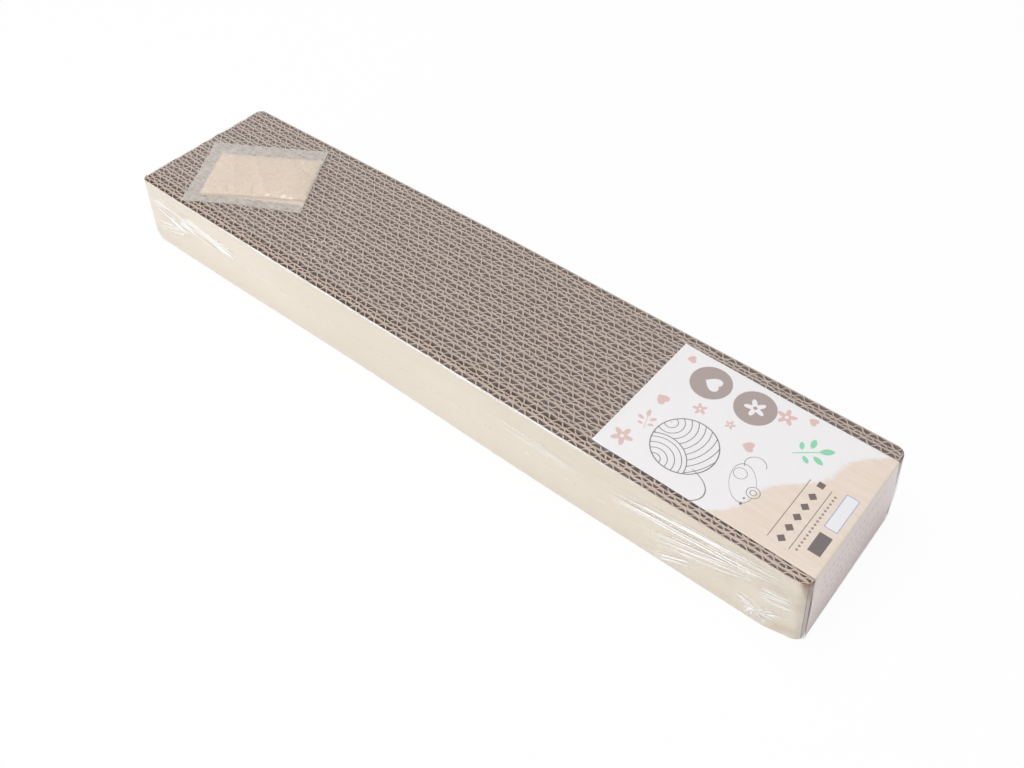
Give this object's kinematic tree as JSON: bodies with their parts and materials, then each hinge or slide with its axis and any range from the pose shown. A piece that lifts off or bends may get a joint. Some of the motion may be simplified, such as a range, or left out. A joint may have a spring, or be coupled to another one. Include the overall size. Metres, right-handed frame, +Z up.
{
  "type": "cat scratcher pad",
  "caption": "Long corrugated cardboard scratching pad with upright flutes, a folded label card and a catnip sachet sealed under clear shrink film.",
  "frame": {"origin": "middle of the face the pad rests on, at floor level", "axes": "+X along the length to the labelled end, +Y across to the back, +Z up through the height"},
  "size_m": [0.465, 0.0988, 0.049],
  "materials": {
    "corrugated_board": "matt brown kraft paper",
    "cover_paper": "matt cream paper",
    "label_card": "smooth printed card",
    "pouch_cloth": "thin non-woven cloth",
    "powder": "fine dry powder",
    "clear_film": "clear glossy film"
  },
  "bodies": {
    "root": {"strip_01": "corrugated_board", "strip_02": "corrugated_board", "strip_03": "corrugated_board", "strip_04": "corrugated_board", "strip_05": "corrugated_board", "strip_06": "corrugated_board", "strip_07": "corrugated_board", "strip_08": "corrugated_board", "strip_09": "corrugated_board", "strip_10": "corrugated_board", "strip_11": "corrugated_board", "strip_12": "corrugated_board", "strip_13": "corrugated_board", "strip_14": "corrugated_board", "strip_15": "corrugated_board", "strip_16": "corrugated_board", "front_strip": "corrugated_board", "front_cover_paper": "cover_paper", "back_cover_paper": "cover_paper", "label_card": "label_card", "sachet_pouch": "pouch_cloth", "catnip_powder": "powder", "shrink_film": "clear_film"}
  },
  "joints": []
}
